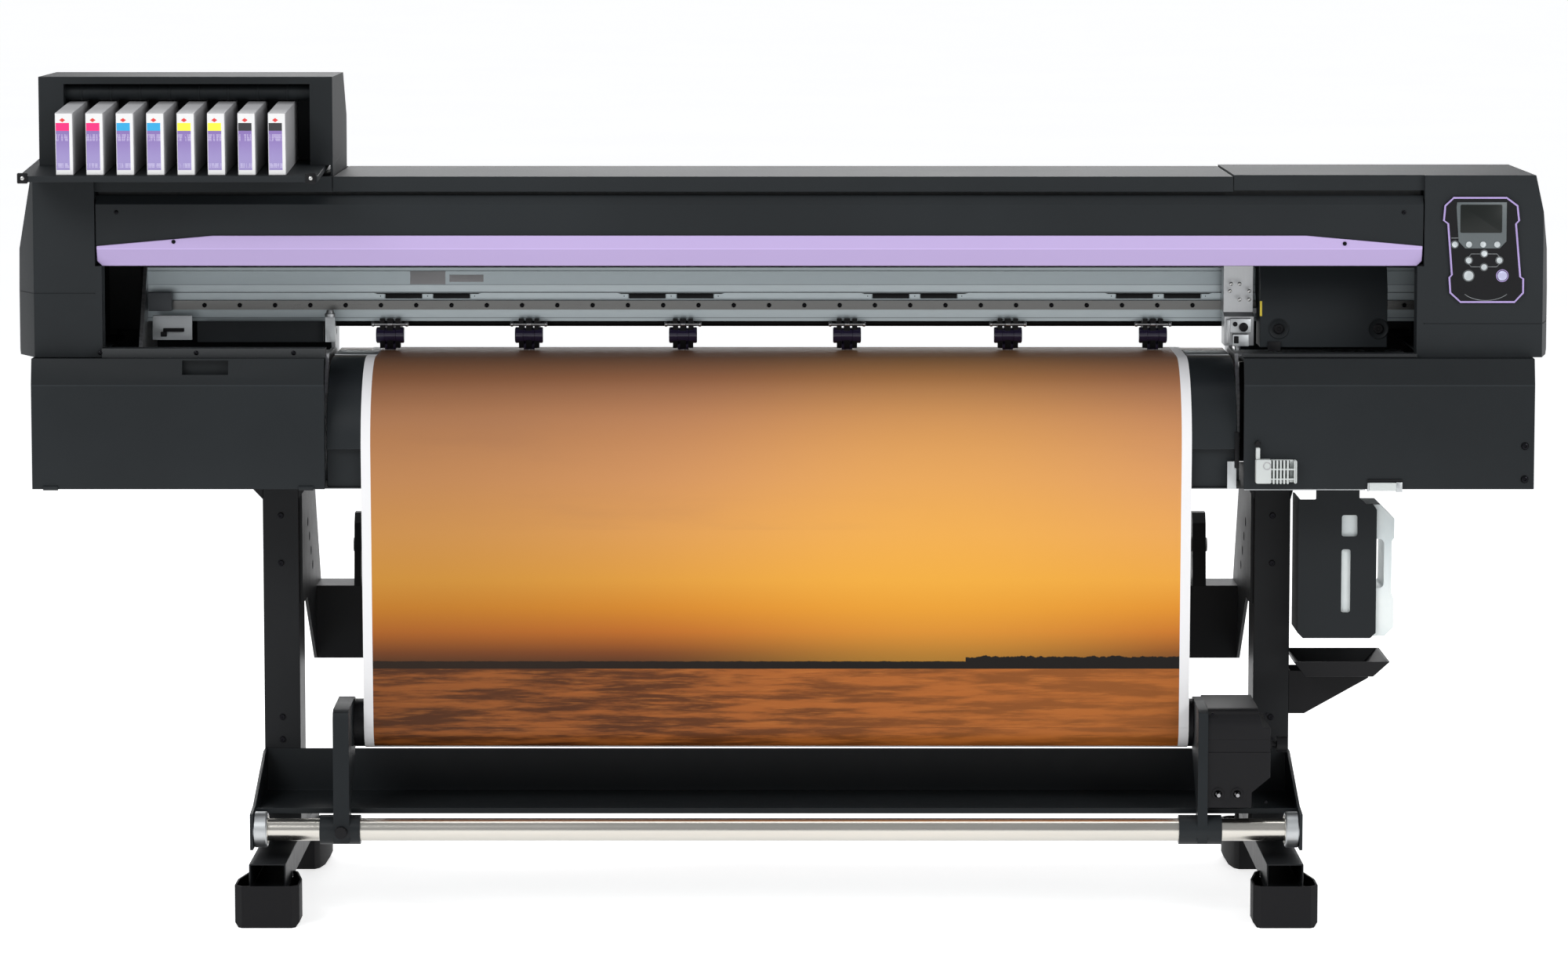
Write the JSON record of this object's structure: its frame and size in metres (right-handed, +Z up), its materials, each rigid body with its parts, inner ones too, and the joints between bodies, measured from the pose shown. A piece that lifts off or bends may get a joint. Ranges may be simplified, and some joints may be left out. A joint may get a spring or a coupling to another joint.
{
  "type": "wide-format printer cutter",
  "caption": "Wide-format roll printer and cutter on a steel stand, with ink cartridges, a carriage on a rail, pinch rollers, covers and a powered take-up.",
  "frame": {"origin": "on the floor, under the middle of the whole machine", "axes": "+X to the right seen from the front, +Y to the rear, +Z up"},
  "size_m": [2.54, 0.7, 1.378],
  "materials": {
    "bar_aluminium": "anodised, brushed along its length",
    "black_plastic": "satin black plastic",
    "body_panel": "dark grey powder coat",
    "bottle_plastic": "translucent natural polyethylene",
    "cable_pvc": "black sheath",
    "carriage_plastic": "textured charcoal",
    "cartridge_plastic": "light grey moulding",
    "charcoal_cover": "fine textured charcoal moulding",
    "cutter_metal": "bead blasted",
    "foot_plastic": "textured black plastic",
    "frame_steel": "galvanised sheet",
    "key_plastic": "pale grey rubber keys",
    "media": "satin printed film",
    "panel_face": "satin black plastic",
    "pause_key": "pale lilac key",
    "pinch_rubber": "smooth polyurethane",
    "platen_metal": "dark anodised",
    "purple_trim": "satin lilac paint",
    "rail_steel": "ground steel",
    "roll_media": "wound white film",
    "roller_steel": "knurled grit bands",
    "stand_steel": "black powder coat",
    "switch_metal": "dark plated lever",
    "tube_steel": "stainless, polished round"
  },
  "bodies": {
    "root": {"stand_sides": "stand_steel", "foot_boxes": "foot_plastic", "lower_beam": "stand_steel", "rear_beam": "stand_steel", "takeup_tube": "tube_steel", "takeup_right_arm": "body_panel", "motor_box": "black_plastic", "takeup_cable": "cable_pvc", "accessory_tray": "black_plastic", "waste_holder": "body_panel", "main_frame": "frame_steel", "platen": "platen_metal", "front_guide": "body_panel", "y_bar": "bar_aluminium", "linear_rail": "rail_steel", "media_web": "media", "left_cover": "charcoal_cover", "right_cover": "charcoal_cover", "top_cover": "charcoal_cover", "right_lower_cover": "body_panel", "rear_cover": "body_panel", "control_panel": "panel_face", "cartridge_box": "charcoal_cover", "cartridge_shelf": "charcoal_cover"},
    "takeup_spool": {"drive_hub": "black_plastic", "takeup_roll": "media"},
    "left_arm": {"takeup_left_arm": "body_panel"},
    "idle_hub": {"idle_hub": "black_plastic"},
    "clamp_knob": {"clamp_knob": "black_plastic"},
    "direction_switch": {"direction_switch": "switch_metal"},
    "mode_switch": {"mode_switch": "switch_metal"},
    "waste_bottle": {"waste_bottle": "bottle_plastic"},
    "supply_roll": {"supply_roll": "roll_media"},
    "feed_roller": {"feed_roller": "roller_steel"},
    "pinch_arms": {"pinch_arms": "black_plastic"},
    "pinch_wheels": {"pinch_wheels": "pinch_rubber"},
    "carriage": {"carriage_block": "cutter_metal", "carriage_cover": "carriage_plastic", "cutter_unit": "cutter_metal"},
    "front_cover": {"front_cover": "body_panel", "cover_trim": "purple_trim"},
    "left_lower_cover": {"left_lower_cover": "body_panel"},
    "key_menu": {"key_menu": "key_plastic"},
    "key_function": {"key_function": "key_plastic"},
    "key_base": {"key_base": "key_plastic"},
    "key_setup": {"key_setup": "key_plastic"},
    "key_up": {"key_up": "key_plastic"},
    "key_left": {"key_left": "key_plastic"},
    "key_right": {"key_right": "key_plastic"},
    "key_down": {"key_down": "key_plastic"},
    "key_enter": {"key_enter": "key_plastic"},
    "key_pause": {"key_pause": "pause_key"},
    "cartridge_1": {"cartridge_1": "cartridge_plastic"},
    "cartridge_2": {"cartridge_2": "cartridge_plastic"},
    "cartridge_3": {"cartridge_3": "cartridge_plastic"},
    "cartridge_4": {"cartridge_4": "cartridge_plastic"},
    "cartridge_5": {"cartridge_5": "cartridge_plastic"},
    "cartridge_6": {"cartridge_6": "cartridge_plastic"},
    "cartridge_7": {"cartridge_7": "cartridge_plastic"},
    "cartridge_8": {"cartridge_8": "cartridge_plastic"}
  },
  "joints": [
    {"name": "takeup_spin", "type": "hinge", "parent": "root", "child": "takeup_spool", "pos_m": [-0.011, -0.165, 0.311], "axis": [1, 0, 0], "continuous": true},
    {"name": "left_arm_slide", "type": "slide", "parent": "root", "child": "left_arm", "axis": [-1, 0, 0], "range_m": [0, 0.07]},
    {"name": "idle_spin", "type": "hinge", "parent": "left_arm", "child": "idle_hub", "pos_m": [-0.71, -0.165, 0.311], "axis": [1, 0, 0], "continuous": true},
    {"name": "clamp_knob_turn", "type": "hinge", "parent": "left_arm", "child": "clamp_knob", "pos_m": [-0.721, -0.306, 0.151], "axis": [0, 1, 0], "range_deg": [0, 540]},
    {"name": "direction_switch_throw", "type": "hinge", "parent": "root", "child": "direction_switch", "pos_m": [0.71, -0.295, 0.213], "axis": [1, 0, 0], "range_deg": [-13, 13]},
    {"name": "mode_switch_throw", "type": "hinge", "parent": "root", "child": "mode_switch", "pos_m": [0.741, -0.295, 0.213], "axis": [1, 0, 0], "range_deg": [-13, 13]},
    {"name": "waste_bottle_slide", "type": "slide", "parent": "root", "child": "waste_bottle", "axis": [1, 0, 0], "range_m": [0, 0.17]},
    {"name": "supply_spin", "type": "hinge", "parent": "root", "child": "supply_roll", "pos_m": [-0.011, 0.28, 0.555], "axis": [1, 0, 0], "continuous": true},
    {"name": "feed_spin", "type": "hinge", "parent": "root", "child": "feed_roller", "pos_m": [-0.011, 0.038, 0.9015], "axis": [1, 0, 0], "continuous": true},
    {"name": "pinch_lift", "type": "hinge", "parent": "root", "child": "pinch_arms", "pos_m": [-0.011, 0.095, 0.94], "axis": [-1, 0, 0], "range_deg": [0, 6]},
    {"name": "pinch_spin", "type": "hinge", "parent": "pinch_arms", "child": "pinch_wheels", "pos_m": [-0.011, 0.038, 0.9199], "axis": [1, 0, 0], "continuous": true},
    {"name": "carriage_slide", "type": "slide", "parent": "root", "child": "carriage", "axis": [-1, 0, 0], "range_m": [0, 1.44]},
    {"name": "front_cover_open", "type": "hinge", "parent": "root", "child": "front_cover", "pos_m": [-0.011, -0.198, 1.181], "axis": [-1, 0, 0], "range_deg": [0, 85]},
    {"name": "left_lower_cover_open", "type": "hinge", "parent": "root", "child": "left_lower_cover", "pos_m": [-1.01, -0.25, 0.71], "axis": [1, 0, 0], "range_deg": [0, 90]},
    {"name": "key_menu_press", "type": "slide", "parent": "root", "child": "key_menu", "axis": [0, 1, 0], "range_m": [0, 0.001], "stiffness_N_per_m": 300, "springref_m": -0.0005},
    {"name": "key_function_press", "type": "slide", "parent": "root", "child": "key_function", "axis": [0, 1, 0], "range_m": [0, 0.001], "stiffness_N_per_m": 300, "springref_m": -0.0005},
    {"name": "key_base_press", "type": "slide", "parent": "root", "child": "key_base", "axis": [0, 1, 0], "range_m": [0, 0.001], "stiffness_N_per_m": 300, "springref_m": -0.0005},
    {"name": "key_setup_press", "type": "slide", "parent": "root", "child": "key_setup", "axis": [0, 1, 0], "range_m": [0, 0.001], "stiffness_N_per_m": 300, "springref_m": -0.0005},
    {"name": "key_up_press", "type": "slide", "parent": "root", "child": "key_up", "axis": [0, 1, 0], "range_m": [0, 0.001], "stiffness_N_per_m": 300, "springref_m": -0.0005},
    {"name": "key_left_press", "type": "slide", "parent": "root", "child": "key_left", "axis": [0, 1, 0], "range_m": [0, 0.001], "stiffness_N_per_m": 300, "springref_m": -0.0005},
    {"name": "key_right_press", "type": "slide", "parent": "root", "child": "key_right", "axis": [0, 1, 0], "range_m": [0, 0.001], "stiffness_N_per_m": 300, "springref_m": -0.0005},
    {"name": "key_down_press", "type": "slide", "parent": "root", "child": "key_down", "axis": [0, 1, 0], "range_m": [0, 0.001], "stiffness_N_per_m": 300, "springref_m": -0.0005},
    {"name": "key_enter_press", "type": "slide", "parent": "root", "child": "key_enter", "axis": [0, 1, 0], "range_m": [0, 0.001], "stiffness_N_per_m": 300, "springref_m": -0.0005},
    {"name": "key_pause_press", "type": "slide", "parent": "root", "child": "key_pause", "axis": [0, 1, 0], "range_m": [0, 0.001], "stiffness_N_per_m": 300, "springref_m": -0.0005},
    {"name": "cartridge_1_slide", "type": "slide", "parent": "root", "child": "cartridge_1", "axis": [0, -0.9981, -0.061], "range_m": [0, 0.24]},
    {"name": "cartridge_2_slide", "type": "slide", "parent": "root", "child": "cartridge_2", "axis": [0, -0.9981, -0.061], "range_m": [0, 0.24]},
    {"name": "cartridge_3_slide", "type": "slide", "parent": "root", "child": "cartridge_3", "axis": [0, -0.9981, -0.061], "range_m": [0, 0.24]},
    {"name": "cartridge_4_slide", "type": "slide", "parent": "root", "child": "cartridge_4", "axis": [0, -0.9981, -0.061], "range_m": [0, 0.24]},
    {"name": "cartridge_5_slide", "type": "slide", "parent": "root", "child": "cartridge_5", "axis": [0, -0.9981, -0.061], "range_m": [0, 0.24]},
    {"name": "cartridge_6_slide", "type": "slide", "parent": "root", "child": "cartridge_6", "axis": [0, -0.9981, -0.061], "range_m": [0, 0.24]},
    {"name": "cartridge_7_slide", "type": "slide", "parent": "root", "child": "cartridge_7", "axis": [0, -0.9981, -0.061], "range_m": [0, 0.24]},
    {"name": "cartridge_8_slide", "type": "slide", "parent": "root", "child": "cartridge_8", "axis": [0, -0.9981, -0.061], "range_m": [0, 0.24]}
  ],
  "couplings": [
    {"joint": "idle_spin", "follows": "takeup_spin", "ratio": 1},
    {"joint": "pinch_spin", "follows": "feed_spin", "ratio": -1.4286}
  ]
}
